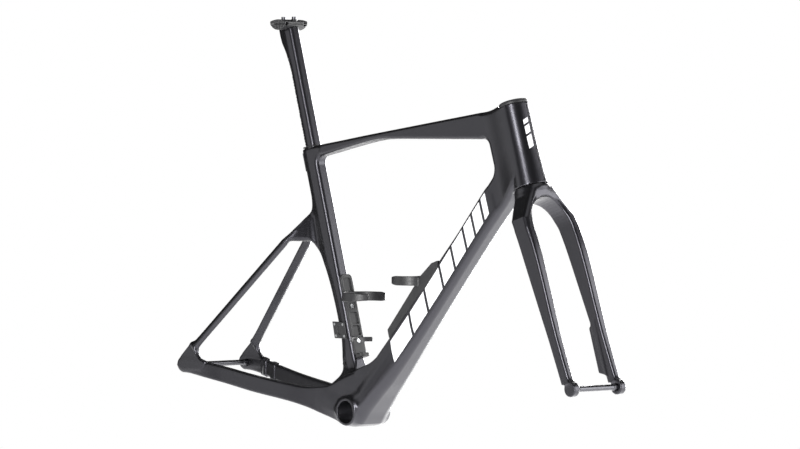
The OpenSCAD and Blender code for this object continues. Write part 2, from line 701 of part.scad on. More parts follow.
module bottle_cage_down_tube() {
    floor_z = down_half_depth + fit_gap;
    ring_x = down_foot.x + (down_ring_z - 9) / tan(down_angle) - down_half_depth / sin(down_angle)
        - cage_ring_radius - cage_ring_wall;
    color(carbon) difference() {
        union() {
            in_down() {
                translate([165, -18, floor_z]) cube([180, 36, 4]);
                for (side = [-1, 1])
                    side_plate([[163, floor_z], [168, down_cage_wall_top], [300, down_cage_wall_top],
                        [335, 33], [345, floor_z]], side * 18.5 - 1.5, side * 18.5 + 1.5);
            }
            translate([ring_x, 0, down_ring_z]) rotate([0, 0, 180]) cage_ring(-cage_ring_height / 2);
        }
        in_down() {
            translate([0, -60, -100]) cube([400, 120, 100 + floor_z]);
            for (s = down_cage_bolts) {
                translate([s, 0, floor_z - 1]) cylinder(r = 2.6, h = 12);
                translate([s, 0, floor_z + 2.5]) cylinder(r = 5, h = 12);
            }
        }
    }
}
module cage_bolt() {
    difference() {
        union() {
            cylinder(r = 2.45, h = 13);
            translate([0, 0, 11.4]) cylinder(r = 4.2, h = 2.6);
        }
        translate([0, 0, 12.6]) cylinder(r = 1.7, h = 4, $fn = 6);
    }
}
module cage_insert() {
    difference() {
        cylinder(r = 3.6, h = 7.8);
        translate([0, 0, -1]) cylinder(r = 2.45, h = 12);
    }
}
module seat_bolt_places() {
    for (z = seat_cage_bolts) in_seat() translate([seat_front - 8, 0, z]) along_x() children();
}
module down_bolt_places() {
    for (s = down_cage_bolts) in_down() translate([s, 0, down_half_depth - 8]) children();
}
module cage_bolts() {
    color(steel) {
        seat_bolt_places() cage_bolt();
        down_bolt_places() cage_bolt();
    }
}
module cage_inserts() {
    color(dark_metal) {
        seat_bolt_places() cage_insert();
        down_bolt_places() cage_insert();
    }
}

// ---- Small fittings ----
module chainstay_brake_sleeves() {
    color(steel) brake_stay_places() difference() {
        cylinder(r = 4, h = 29, center = true);
        cylinder(r = 2.75, h = 40, center = true);
    }
}
module cable_grommets() {
    color(rubber) in_seat() translate([-12, -seat_tube_half_width - 0.8, cable_port_z]) rotate([-90, 0, 0])
        race_ring(1.6, 3, 5);
}

head_tube();
top_tube();
down_tube();
seat_tube();
bottom_bracket_shell();
chainstay_left();
chainstay_right();
seatstay_yoke();
seatstay_left();
seatstay_right();
rear_dropout_left();
rear_dropout_right();
headset_cover();
upper_bearing_outer_race();
lower_bearing_outer_race();
seat_clamp_wedge();
seat_clamp_bolt();
front_derailleur_mount();
front_derailleur_screws();
bottle_cage_seat_tube();
bottle_cage_down_tube();
cage_bolts();
cage_inserts();
chainstay_brake_sleeves();
cable_grommets();
steerer_tube();
fork_crown();
fork_leg_left();
fork_leg_right();
fork_dropout_left();
fork_dropout_right();
crown_race();
upper_bearing_inner_race();
lower_bearing_inner_race();
compression_ring();
steerer_expander();
expander_bolt();
steerer_cap();
fork_brake_inserts();
upper_bearing_balls();
lower_bearing_balls();
front_axle();
rear_axle();
seatpost();
rail_clamp_cradle();
rail_clamp_top();
rail_clamp_bolts();
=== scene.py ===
"""Looks of an aero road bicycle frameset: satin carbon skins, trim, studio light and camera.

Fields are signed distances in millimetres, negative inside. Each skin is meshed from one field.
"""

import json
import math

import bpy
import numpy as np
from mathutils import Matrix, Vector


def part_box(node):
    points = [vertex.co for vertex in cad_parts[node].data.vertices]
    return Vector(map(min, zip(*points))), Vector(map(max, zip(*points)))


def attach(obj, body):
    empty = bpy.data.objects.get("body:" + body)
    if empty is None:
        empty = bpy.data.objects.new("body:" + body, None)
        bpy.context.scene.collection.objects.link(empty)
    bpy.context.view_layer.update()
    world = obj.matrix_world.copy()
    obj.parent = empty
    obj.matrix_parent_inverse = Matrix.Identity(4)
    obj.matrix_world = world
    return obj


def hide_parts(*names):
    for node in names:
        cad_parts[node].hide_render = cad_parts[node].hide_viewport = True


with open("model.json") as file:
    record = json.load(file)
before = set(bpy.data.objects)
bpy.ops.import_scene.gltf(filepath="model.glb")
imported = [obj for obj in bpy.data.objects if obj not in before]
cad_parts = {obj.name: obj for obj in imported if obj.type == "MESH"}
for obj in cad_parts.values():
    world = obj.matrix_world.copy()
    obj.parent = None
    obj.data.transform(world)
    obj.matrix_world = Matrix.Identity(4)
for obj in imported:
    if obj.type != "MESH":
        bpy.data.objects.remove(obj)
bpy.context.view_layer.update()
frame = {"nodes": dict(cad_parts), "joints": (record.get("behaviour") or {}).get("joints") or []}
MM = 0.001
joints = {j["name"]: j for j in frame["joints"]}


# ---- Frames of reference ----
class Axes:
    """A frame in the side plane: z along its own axis, x across it (forward or below), y to the left."""

    def __init__(self, origin, along):
        self.origin = np.array(origin, float)
        self.along = np.array(along, float) / np.linalg.norm(along)
        self.across = np.array([self.along[2], 0, -self.along[0]])

    def split(self, x, z):
        dx, dz = x - self.origin[0], z - self.origin[2]
        return dx * self.across[0] + dz * self.across[2], dx * self.along[0] + dz * self.along[2]

    def point(self, x, y, z):
        return self.origin + x * self.across + np.array([0, y, 0]) + z * self.along


head = Axes(np.array(joints["steering"]["pos_m"]) / MM, joints["steering"]["axis"])
seat = Axes([0, 0, 0], joints["seatpost_height"]["axis"])
down_foot = np.array([4.5, 0, -1.3])
down = Axes(down_foot, head.point(-66, 0, -133.5) - down_foot)
tilt_centre = np.array(joints["saddle_tilt"]["pos_m"]) / MM


def node_centre(name):
    low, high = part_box(name)
    return np.array((low + high) / 2) / MM


rear_axle = node_centre("rear_axle")
front_axle = node_centre("front_axle")
axle_x, axle_z = head.split(front_axle[0], front_axle[2])
CROWN_Z = -154.7
DECK_Z = -7
RAIL_Z = tilt_centre[2] - 15


# ---- Field kit ----
class Profile:
    """A smooth curve through a few (place, value) points, level beyond its ends."""

    def __init__(self, *points):
        self.x, self.y = np.array(points, float).T
        gap = np.diff(self.x)
        slope = np.diff(self.y) / gap
        self.tangent = np.zeros(len(self.x))
        same = slope[1:] * slope[:-1] > 0
        weight = gap[1:] + 2 * gap[:-1], 2 * gap[1:] + gap[:-1]
        flat = np.where(same, slope[1:] * slope[:-1], 1)
        mean = weight[0] / np.where(same, slope[:-1], 1) + weight[1] / np.where(same, slope[1:], 1)
        self.tangent[1:-1] = np.where(same & (flat > 0), (weight[0] + weight[1]) / mean, 0)
        self.tangent[0], self.tangent[-1] = slope[0], slope[-1]

    def __call__(self, place):
        x = np.clip(place, self.x[0], self.x[-1])
        i = np.clip(np.searchsorted(self.x, x) - 1, 0, len(self.x) - 2)
        gap = self.x[i + 1] - self.x[i]
        t = (x - self.x[i]) / gap
        rise = self.y[i + 1] - self.y[i]
        a = gap * self.tangent[i]
        b = gap * self.tangent[i + 1]
        return self.y[i] + t * (a + t * (3 * rise - 2 * a - b + t * (a + b - 2 * rise)))


def rounded_both(u, v, r):
    """Two distances met in an outer corner of radius r."""
    p, q = u + r, v + r
    return np.hypot(np.maximum(p, 0), np.maximum(q, 0)) + np.minimum(np.maximum(p, q), 0) - r


def rounded(u, v, a, b, r):
    """Rounded rectangle with half sizes a and b."""
    return rounded_both(np.abs(u) - a, np.abs(v) - b, r)


def join(a, b, k):
    """Union with a fillet of reach k."""
    h = np.maximum(k - np.abs(a - b), 0) / k
    return np.minimum(a, b) - h ** 3 * k / 6


def trim(a, b, k):
    """Intersection with an edge rounded over reach k."""
    return -join(-a, -b, k)


def between(x, low, high):
    return np.abs(x - (low + high) / 2) - (high - low) / 2


def ease(x, start, end):
    t = np.clip((x - start) / (end - start), 0, 1)
    return t * t * (3 - 2 * t)


def polygon(u, v, points):
    """Signed distance to a closed outline."""
    best = np.full(u.shape, 1e12)
    inside = np.zeros(u.shape, bool)
    for (x0, y0), (x1, y1) in zip(points, points[1:] + points[:1]):
        ex, ey = x1 - x0, y1 - y0
        wx, wy = u - x0, v - y0
        t = np.clip((wx * ex + wy * ey) / (ex * ex + ey * ey), 0, 1)
        best = np.minimum(best, (wx - ex * t) ** 2 + (wy - ey * t) ** 2)
        if y0 != y1:
            inside ^= ((y0 > v) != (y1 > v)) & (u < ex * (v - y0) / ey + x0)
    return np.where(inside, -1, 1) * np.sqrt(best)


def slope(field, p):
    """Gradient of a field at points p."""
    reach = 0.2
    out = np.empty_like(p)
    for axis in range(3):
        step = np.zeros(3)
        step[axis] = reach
        out[:, axis] = (field(*(p + step).T) - field(*(p - step).T)) / (2 * reach)
    return out


BLOCK = 4  # cells along each side of a coarse block


def sample(field, low, step, blocks):
    """Field values on a grid, exact near the surface and coarse elsewhere."""
    centres = [low[i] + (np.arange(blocks[i]) + 0.5) * step[i] * BLOCK for i in range(3)]
    coarse_at = np.meshgrid(*centres, indexing="ij")
    coarse = field(*[c.ravel() for c in coarse_at]).reshape(blocks)
    reach = 0.62 * BLOCK * np.linalg.norm(step) + 2
    values = coarse.astype(np.float32)
    for axis in range(3):
        values = np.repeat(values, BLOCK, axis)
    near = np.argwhere(np.abs(coarse) < reach) * BLOCK
    inner = np.indices((BLOCK,) * 3).reshape(3, -1).T
    for part in np.array_split(near, max(1, len(near) // 6000)):
        at = (part[:, None, :] + inner[None]).reshape(-1, 3)
        values[tuple(at.T)] = field(*(low + (at + 0.5) * step).T)
    return values


def surface_net(values, low, step):
    """Vertices and quads of the zero surface, one vertex in each cell that it crosses."""
    inside = values < 0
    count = np.zeros(np.array(values.shape) - 1, np.uint8)
    corners = np.indices((2, 2, 2)).reshape(3, -1).T
    for c in corners:
        count += inside[tuple(slice(o, o + n) for o, n in zip(c, count.shape))]
    cells = np.argwhere((count > 0) & (count < 8))
    at = {tuple(c): values[tuple((cells + c).T)].astype(float) for c in corners}
    total = np.zeros((len(cells), 3))
    hits = np.zeros(len(cells))
    for c in corners:
        for axis in range(3):
            if c[axis] == 0:
                other = c.copy()
                other[axis] = 1
                a, b = at[tuple(c)], at[tuple(other)]
                cross = (a < 0) != (b < 0)
                t = np.where(cross, a / np.where(cross, a - b, 1), 0)
                point = np.repeat(c[None].astype(float), len(cells), 0)
                point[:, axis] += t
                total += point * cross[:, None]
                hits += cross
    vertices = low + (cells + total / hits[:, None] + 0.5) * step
    index = np.full(count.shape, -1, np.int32)
    index[tuple(cells.T)] = np.arange(len(cells))
    quads = []
    for axis in range(3):
        b, c = (axis + 1) % 3, (axis + 2) % 3
        first = [slice(1, -1)] * 3
        second = list(first)
        first[axis], second[axis] = slice(0, -1), slice(1, None)
        change = inside[tuple(first)] != inside[tuple(second)]
        out_first = inside[tuple(first)]
        spots = np.argwhere(change)
        leaving = out_first[tuple(spots.T)]
        spots[:, b] += 1
        spots[:, c] += 1
        ring = []
        for db, dc in ((1, 1), (0, 1), (0, 0), (1, 0)):
            cell = spots.copy()
            cell[:, b] -= db
            cell[:, c] -= dc
            ring.append(index[tuple(cell.T)])
        ring = np.stack(ring, 1)
        ring[~leaving] = ring[~leaving][:, ::-1]
        quads.append(ring)
    return vertices, np.concatenate(quads)


def mesh_object(name, vertices, faces, normals=None):
    """A smooth-shaded mesh from points in millimetres, with given normals where there are any."""
    mesh = bpy.data.meshes.new(name)
    mesh.from_pydata((np.asarray(vertices) * MM).tolist(), [], [tuple(map(int, f)) for f in faces])
    mesh.polygons.foreach_set("use_smooth", [True] * len(mesh.polygons))
    if normals is not None:
        mesh.normals_split_custom_set_from_vertices(np.asarray(normals).tolist())
    piece = bpy.data.objects.new(name, mesh)
    bpy.context.scene.collection.objects.link(piece)
    return piece


def skin(name, field, low, high, step):
    """A closed mesh of a field's zero surface inside a box, with the field's own normals."""
    step = np.array(step, float) * np.ones(3)
    low = np.array(low, float)
    blocks = tuple(np.ceil((np.array(high) - low) / (BLOCK * step)).astype(int))
    vertices, quads = surface_net(sample(field, low, step, blocks), low, step)
    for _ in range(3):
        g = slope(field, vertices)
        move = field(*vertices.T) / np.maximum((g * g).sum(1), 0.25)
        limit = 0.5 * step.min()
        vertices = vertices - np.clip(move, -limit, limit)[:, None] * g
    g = slope(field, vertices)
    normals = g / np.maximum(np.linalg.norm(g, axis=1), 1e-6)[:, None]
    return mesh_object(name, vertices, quads, normals)


def finish_piece(piece, body, finish, slot, *nodes):
    """Gives a piece its material and body, and hides the CAD nodes that it stands for."""
    piece.data.materials.append(finish)
    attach(piece, body)
    if nodes:
        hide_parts(*nodes)


# ---- Materials ----
def material(name, colour, roughness, metallic=0.0, coat=0.0, coat_roughness=0.2):
    """A Principled material, with its nodes, its link function, its shader and the object position."""
    mat = bpy.data.materials.new(name)
    mat.use_nodes = True
    nodes = mat.node_tree.nodes
    shader = nodes["Principled BSDF"]
    shader.inputs["Base Color"].default_value = (*colour, 1)
    shader.inputs["Roughness"].default_value = roughness
    shader.inputs["Metallic"].default_value = metallic
    shader.inputs["Coat Weight"].default_value = coat
    shader.inputs["Coat Roughness"].default_value = coat_roughness
    place = nodes.new("ShaderNodeTexCoord").outputs["Object"]
    return mat, nodes, mat.node_tree.links.new, shader, place


def noise(nodes, link, place, scale, detail=3.0):
    node = nodes.new("ShaderNodeTexNoise")
    node.inputs["Scale"].default_value = scale
    node.inputs["Detail"].default_value = detail
    node.inputs["Roughness"].default_value = 0.55
    link(place, node.inputs["Vector"])
    return node.outputs["Fac"]


def remap(nodes, link, value, low, high):
    """Stretches the middle half of a pattern over low to high."""
    node = nodes.new("ShaderNodeMapRange")
    node.inputs["From Min"].default_value = 0.25
    node.inputs["From Max"].default_value = 0.75
    node.inputs["To Min"].default_value = low
    node.inputs["To Max"].default_value = high
    link(value, node.inputs["Value"])
    return node.outputs["Result"]


def mix_colours(nodes, link, factor, first, second):
    node = nodes.new("ShaderNodeMix")
    node.data_type = "RGBA"
    link(factor, node.inputs["Factor"])
    for socket, colour in (("A", first), ("B", second)):
        target = [i for i in node.inputs if i.name == socket and i.type == "RGBA"][0]
        if isinstance(colour, tuple):
            target.default_value = (*colour, 1)
        else:
            link(colour, target)
    return [o for o in node.outputs if o.type == "RGBA"][0]


def bump(nodes, link, height, strength, distance):
    node = nodes.new("ShaderNodeBump")
    node.inputs["Strength"].default_value = strength
    node.inputs["Distance"].default_value = distance
    link(height, node.inputs["Height"])
    return node.outputs["Normal"]


def painted_carbon():
    """Satin black paint over carbon: fine metal flake, faint clouding and a little orange peel."""
    mat, nodes, link, shader, place = material("satin_carbon", (0.003, 0.003, 0.0035), 0.3, 0.0, 0.3, 0.24)
    shader.inputs["Specular Tint"].default_value = (1.0, 0.98, 1.15, 1)
    flake = nodes.new("ShaderNodeTexVoronoi")
    flake.inputs["Scale"].default_value = 2600
    link(place, flake.inputs["Vector"])
    grey = nodes.new("ShaderNodeRGBToBW")
    link(flake.outputs["Color"], grey.inputs["Color"])
    cloud = noise(nodes, link, place, 9)
    base = mix_colours(nodes, link, cloud, (0.0022, 0.0022, 0.0026), (0.0034, 0.0034, 0.0038))
    sparkle = remap(nodes, link, grey.outputs["Val"], 0.0, 0.35)
    link(mix_colours(nodes, link, sparkle, base, (0.010, 0.010, 0.0106)), shader.inputs["Base Color"])
    link(remap(nodes, link, noise(nodes, link, place, 60), 0.29, 0.32), shader.inputs["Roughness"])
    peel = bump(nodes, link, noise(nodes, link, place, 260, 2.0), 0.02, 0.0002)
    link(peel, shader.inputs["Normal"])
    return mat


def moulded_plastic(name, colour, roughness):
    """Glass-filled nylon: fine pitted grain, slight unevenness and paler rubbed spots."""
    mat, nodes, link, shader, place = material(name, colour, roughness)
    pale = tuple(c * 1.9 + 0.004 for c in colour)
    spots = noise(nodes, link, place, 40, 5.0)
    link(mix_colours(nodes, link, spots, colour, pale), shader.inputs["Base Color"])
    link(remap(nodes, link, noise(nodes, link, place, 160), roughness - 0.06, roughness + 0.08),
         shader.inputs["Roughness"])
    link(bump(nodes, link, noise(nodes, link, place, 2200, 3.0), 0.25, 0.0002), shader.inputs["Normal"])
    return mat


def turned_metal(name, colour, roughness):
    """Machined metal with fine tool marks and a slightly stained surface."""
    mat, nodes, link, shader, place = material(name, colour, roughness, 1.0)
    dull = tuple(c * 0.72 for c in colour)
    stains = noise(nodes, link, place, 120, 4.0)
    link(mix_colours(nodes, link, stains, dull, colour), shader.inputs["Base Color"])
    link(remap(nodes, link, noise(nodes, link, place, 420), roughness - 0.07, roughness + 0.1),
         shader.inputs["Roughness"])
    marks = nodes.new("ShaderNodeTexWave")
    marks.inputs["Scale"].default_value = 1500
    marks.inputs["Distortion"].default_value = 1.5
    link(place, marks.inputs["Vector"])
    link(bump(nodes, link, marks.outputs["Fac"], 0.08, 0.0001), shader.inputs["Normal"])
    return mat


def white_paint():
    """Matt white graphic layer with a faint grain."""
    mat, nodes, link, shader, place = material("white_graphic", (0.82, 0.82, 0.84), 0.5)
    grain = noise(nodes, link, place, 300, 4.0)
    link(mix_colours(nodes, link, grain, (0.78, 0.78, 0.80), (0.86, 0.86, 0.88)), shader.inputs["Base Color"])
    link(remap(nodes, link, noise(nodes, link, place, 90), 0.44, 0.54), shader.inputs["Roughness"])
    link(bump(nodes, link, noise(nodes, link, place, 1800, 2.0), 0.05, 0.0001), shader.inputs["Normal"])
    return mat


finishes = {
    "carbon": painted_carbon(),
    "satin_black": moulded_plastic("nylon_black", (0.012, 0.012, 0.013), 0.42),
    "steel": turned_metal("turned_steel", (0.56, 0.57, 0.58), 0.28),
    "dark_metal": turned_metal("anodised_grey", (0.11, 0.11, 0.12), 0.3),
    "rubber": moulded_plastic("rubber_black", (0.008, 0.008, 0.008), 0.6),
}
graphic = white_paint()

for node in frame["nodes"].values():
    slot_name = node.data.materials[0].name.split(".")[0]
    for i in range(len(node.data.materials)):
        node.data.materials[i] = finishes.get(slot_name, finishes["satin_black"])

# ---- Frame fields ----
# The main body is an outline in the side plane with a half width that varies over it.
HEAD_BACK = -66
SEAT_FRONT = 17.3
YOKE_UNDER = 303.5
head_radius = Profile((-154, 30.5), (-120, 28.5), (-79, 26.9), (0, 26.6))
top_edge = Profile((-130, 477.5), (-48, 488.5), (12, 497), (112, 510.5), (212, 524), (312, 537.5), (335, 541),
                   (347, 543.7), (358, 547.2), (384, 555.4), (415, 565.3))
top_under = Profile((-130, 455), (-72, 467), (-12, 479.5), (38, 488.5), (62, 490.8), (105, 491.4), (330, 491.5))
top_width = Profile((-130, 14), (-60, 15.5), (50, 17.5), (300, 18.5), (330, 19))
down_below = Profile((0, 25.5), (60, 27), (100, 29.5), (160, 30.5), (300, 30.5), (430, 31), (500, 33),
                     (545, 36))
lug_width = Profile((-112, 43.2), (-66, 39), (-30, 36.5), (0, 35.3), (34, 33), (64, 29.5), (100, 25.5),
                    (152, 21.7), (218, 20))
# A ridge that runs over the shell and fades up the down tube: x, z, height over the lug
ridge = [(-66, 17, 1), (-30, 5, 4), (0, 0, 7), (34.5, 25.6, 6), (64.1, 59.5, 4.5), (100.2, 101, 3),
         (152.8, 161.3, 1.5), (218.5, 236.7, 0)]
seat_back = Profile((60, -29), (101, -25.7), (121, -21.2), (141, -17.8), (182, -17), (224, -18.6), (268, -23.4),
                    (300, -31), (330, -41), (345, -47))
SEAT_BACK_HIGH = -24.3
SHELL_RADIUS = 24.5
SHELL_HALF_WIDTH = 43.25
SHELL_BORE = 20.6
yoke_top = Profile((-190, 301), (-184, 309), (-177, 317), (-164, 331), (-154, 341), (-120, 380))
yoke_width = Profile((-184, 30.5), (-176, 28.5), (-154, 19.5), (-137, 14), (-120, 13.2))
root_top = Profile((-130, 41.8), (-107, 40.2), (-80, 41.5), (-50, 45))
under_edge = Profile((-120, 5.5), (-107, 3), (-78, -5), (-38, -16), (-28, -19.3), (-10, -22.8), (0, -23.5),
                     (20, -21.5), (34, -15), (46, -4), (60, 12), (80, 38))
shoulder = Profile((-60, 50), (-36, 59.5), (4, 73.5), (62, 94.5))


def ramp(x, reach):
    """Zero below zero, then a bend of the given reach into a straight climb."""
    x = np.maximum(x, 0)
    return np.where(x < reach, x * x / (2 * reach), x - reach / 2)


def above(x, z, edge):
    """Distance above an edge drawn by a profile, negative below it."""
    rise = (edge(x + 1.5) - edge(x - 1.5)) / 3
    return (z - edge(x)) / np.sqrt(1 + rise * rise)


def seat_top_plane(x, z):
    return (z - 481.5 - 0.18 * (x + 108)) * 0.984


def side_outline(x, z, hx, sx, sz, dx, dz):
    """Distance to the main body's outline in the side plane."""
    front_hole = rounded_both(above(x, z, top_under), hx - HEAD_BACK, 10)
    front_hole = rounded_both(front_hole, dx + 22.5, 9)
    front_hole = rounded_both(front_hole, SEAT_FRONT - sx, 15)
    front_hole = rounded_both(front_hole, -above(x, z, shoulder), 7)
    rear_hole = rounded_both(above(sz, sx, seat_back), -above(x, z, root_top), 17)
    rear_hole = rounded_both(rear_hole, z - YOKE_UNDER, 5)
    high_hole = rounded_both(sx - SEAT_BACK_HIGH, -above(x, z, yoke_top), 18)
    high_hole = np.maximum(high_hole, 304 - z)
    outer = np.maximum(above(x, z, top_edge), hx - 24)
    outer = np.maximum(outer, above(dz, dx, down_below))
    outer = np.maximum(outer, -above(x, z, under_edge))
    outer = np.maximum(outer, np.where(z > 200, -183 - x, -112 - x))
    outer = np.maximum(outer, np.where(x < -90, seat_top_plane(x, z), -50))
    holes = np.minimum(np.minimum(front_hole, rear_hole), high_hole)
    return np.maximum(outer, -holes)


def foot_width(x, z):
    """Half width of the frame's lower part: a broad lug with a ridge along it."""
    best = np.full(x.shape, 1e9)
    height = np.zeros(x.shape)
    for start, end in zip(ridge, ridge[1:]):
        ex, ez = end[0] - start[0], end[1] - start[1]
        t = np.clip(((x - start[0]) * ex + (z - start[1]) * ez) / (ex * ex + ez * ez), 0, 1)
        reach = np.hypot(x - start[0] - ex * t, z - start[1] - ez * t)
        height = np.where(reach < best, start[2] + (end[2] - start[2]) * t, height)
        best = np.minimum(best, reach)
    return lug_width(x) + height * (1 - ease(best, 4, 27))


def side_width(x, z, hx, hz, sx, sz, dx, dz):
    """Half width and edge radius of the main body, blended between its members."""
    radius = head_radius(hz)
    over_shoulder = above(x, z, shoulder)
    tail = 24 - sx + np.maximum(seat_back(sz), -26)
    tube_reach = np.maximum(np.abs(dx) - 24, 24 - dz)
    foot_reach = np.minimum(tube_reach, np.maximum(np.abs(x + 20) - 60, over_shoulder))
    corner = np.where(dx < 0, 3.5 + 6 * ease(dz, 330, 430), 15 - 2 * ease(dz, 60, 180))
    top_reach = np.maximum(above(x, z, top_edge), -above(x, z, top_under))
    members = (
        (HEAD_BACK + 8 - hx, radius + (19 - radius) * ease(hx, 0, HEAD_BACK), 11),
        (foot_reach + 2 * np.maximum(dz - 505, 0), foot_width(x, z), corner),
        (np.maximum(np.abs(sx + 3) - 20, 4 - over_shoulder), 13.5 - 0.4 * ramp(tail, 9), 8),
        (top_reach + 2 * np.maximum(np.maximum(-95 - x, x - 312), 0), top_width(x), 6.5),
        (np.maximum(np.abs(z - 322) - 22, x + 132), yoke_width(x), 9),
    )
    total = width = edge = 0
    for distance, half, rounding in members:
        weight = np.exp(-np.clip(distance, -16, 150) / 7)
        total = total + weight
        width = width + weight * half
        edge = edge + weight * rounding
    return width / total, edge / total


stay_top = np.array([-175.8, 24.8, 311.5])
stay_foot = np.array([-385.0, 72.8, 105.0])
stay_run = stay_foot - stay_top
stay_slope = math.atan2(-stay_run[2], -stay_run[0])
stay_up = np.array([-math.sin(stay_slope), 0, math.cos(stay_slope)])
CANT = math.radians(35)


def seatstay_field(x, side, z):
    p = np.stack([x, side, z]) - stay_top[:, None]
    t = (stay_run @ p) / (stay_run @ stay_run)
    off = p - stay_run[:, None] * t
    across = np.array([0, 1, 0])
    u = (math.cos(CANT) * stay_up - math.sin(CANT) * across) @ off
    v = (math.sin(CANT) * stay_up + math.cos(CANT) * across) @ off
    flare = 1 + 0.12 * ease(t, 0.88, 1.0) - 0.8 * ease(t, 0.06, -0.05)
    shape = rounded(u, v, 7.7 * flare, 5.2 * np.minimum(flare, 1), 3.3)
    return np.maximum(shape, between(t, -0.05, 1.0) * 298)


chain_side = Profile((-429, 75.5), (-400, 75.4), (-362, 73.8), (-310, 63.5), (-238, 53.5), (-151, 42),
                     (-107, 35.5), (-66, 31), (-30, 27))
chain_top = Profile((-430, 69), (-428.5, 74), (-424, 79), (-416, 81.5), (-404, 81.8), (-362, 77.5), (-310, 69),
                    (-238, 56.5), (-151, 44.5), (-107, 40.2), (-80, 41.5))
chain_under = Profile((-430, 68), (-428.5, 62), (-424, 57.5), (-416, 54.5), (-404, 54.2), (-362, 48.5),
                      (-310, 39), (-238, 25.5), (-151, 12.5), (-107, 3), (-78, -5))
chain_width = Profile((-429, 4.5), (-362, 5.5), (-310, 6.5), (-238, 7), (-151, 8), (-107, 7.7), (-66, 7.8))
BRAKE_STAY_X = -335


def chainstay_field(x, y, side, z):
    # The left stay is thicker where the brake sleeves stand in it
    swell = sum(ease(10 - np.abs(x - BRAKE_STAY_X - dx), 0, 2.5) for dx in (-17, 17))
    swell = np.where(y > 0, swell, 0)
    band = np.maximum(above(x, z, chain_top), -above(x, z, chain_under)) - 1.8 * swell
    slab = np.abs(side - chain_side(x)) - chain_width(x) - 2 * swell
    shape = rounded_both(band, slab, 4.2)
    return np.maximum(shape, between(x, -431, -84))


dropout_outline = [(-429, 68), (-427, 76), (-418, 88), (-391.5, 111), (-379, 98.5), (-373.5, 88),
                   (-366, 81), (-352, 76), (-362, 62), (-414, 60)]


def dropout_field(x, side, z):
    return rounded_both(polygon(x, z, dropout_outline), np.abs(side - 75.4) - 4.4, 2.4)


def axle_bore(x, y, z, axle, wall):
    """Room for a thru axle, open to the left and stopped by the right-hand wall."""
    return np.maximum(np.hypot(x - axle[0], z - axle[1]) - 6.15, wall - y)


def frame_field(x, y, z):
    side = np.abs(y)
    hx, hz = head.split(x, z)
    sx, sz = seat.split(x, z)
    dx, dz = down.split(x, z)
    outline = side_outline(x, z, hx, sx, sz, dx, dz)
    width, edge = side_width(x, z, hx, hz, sx, sz, dx, dz)
    shape = rounded_both(outline, side - width, edge)
    turn = np.hypot(hx, y)
    barrel = rounded_both(turn - head_radius(hz), between(hz, -154, -0.4), 1)
    shape = np.where(hx > 0, barrel, np.minimum(shape, barrel))
    wheel = np.hypot(x - rear_axle[0], z - rear_axle[2]) - 350
    room = rounded_both(wheel, side - chain_side(x) + chain_width(x) * 1.02, 8)
    shape = trim(shape, -np.where(z < 200, room, 60), 2)
    shell = rounded_both(np.hypot(x, z) - SHELL_RADIUS, side - SHELL_HALF_WIDTH, 1)
    shape = join(shape, shell, 20)
    shape = np.minimum(shape, chainstay_field(x, y, side, z))
    rear = join(seatstay_field(x, side, z), dropout_field(x, side, z), 14)
    shape = join(shape, rear, 9)
    crown_room = rounded_both((turn - 37 - 0.5 * (CROWN_Z - hz)) * 0.9, hz - CROWN_Z - 0.5, 1)
    shape = trim(shape, -crown_room, 1.5)
    shape = np.maximum(shape, -rounded_both(turn - 27.1, DECK_Z - hz, 0.3))
    bore = np.where(hz > -16.4, 23.2, np.where(hz < -144, 26.2, 20.8))
    shape = np.maximum(shape, -np.maximum(turn - bore, between(hz, -170, 10)))
    shape = trim(shape, SHELL_BORE - np.hypot(x, z), 0.8)
    return np.maximum(shape, -axle_bore(x, y, z, (rear_axle[0], rear_axle[2]), -77.4))


# ---- Fork fields, in the head frame ----
leg_outer = [(64.4, -234), (64.3, -275), (64.1, -330), (63.9, -383), (63.3, -445), (62.9, -500), (62.5, -514)]
leg_inner = [(50, -514), (49.7, -500), (48.9, -445), (47.9, -383), (47.1, -330), (46.3, -275)]
ARCH_CENTRE_Z = -236
arch = [(45.8 * math.cos(a), ARCH_CENTRE_Z + 57.5 * math.sin(a)) for a in np.linspace(0, math.pi / 2, 14)]
fork_outline = [(-20, CROWN_Z - 1), (23, CROWN_Z - 2), (61.8, -213.5)] + leg_outer + leg_inner + arch
fork_outline = fork_outline + [(-20, arch[-1][1])]
fork_middle = Profile((-514, 38), (-500, 37), (-445, 32.5), (-383, 28), (-330, 24.5), (-275, 20), (-232, 14),
                      (-214, 10.5), (-186, 6), (-155, 3))
fork_half = Profile((-514, 11.2), (-500, 11), (-445, 11.3), (-383, 13.5), (-330, 16), (-275, 18), (-232, 19),
                    (-214, 20.5), (-186, 23), (-155, 26))
BRAKE_Z = -452


def blade_offset(side, z):
    """How far a point lies from the middle line of a fork blade, outward positive."""
    return side - 55 + 44 * ease(z, -236, -160)


def fork_field(x, y, z):
    side = np.abs(y)
    hx, hz = head.split(x, z)
    outline = polygon(side, hz, fork_outline)
    inside_edge = ease(hz, -300, -190) * ease(blade_offset(side, hz), -6, 6)
    shape = rounded_both(outline, np.abs(hx - fork_middle(hz)) - fork_half(hz), 4.8 + 4.5 * inside_edge)
    boss = rounded_both(np.hypot(hx, y) - 30.2, between(hz, CROWN_Z - 14, CROWN_Z), 1.2)
    shape = join(shape, boss, 14)
    eye = rounded_both(np.hypot(hx - axle_x, hz - axle_z) - 13, np.abs(side - 56.25) - 6.25, 2)
    shape = join(shape, eye, 9)
    pad = rounded(hx - 22, y - 56, 10, 6.5, 2.5)
    ends = np.abs(hz - BRAKE_Z) - 40 - 0.5 * (hx - 12)
    shape = join(shape, trim(pad, ends, 3), 5)
    collar = (np.hypot(hx, y) - 30.9 - 1.4 * (CROWN_Z - hz)) * 0.58
    shape = np.maximum(trim(shape, collar, 5), hz - CROWN_Z)
    return np.maximum(shape, -axle_bore(hx, y, hz, (axle_x, axle_z), -59.8))


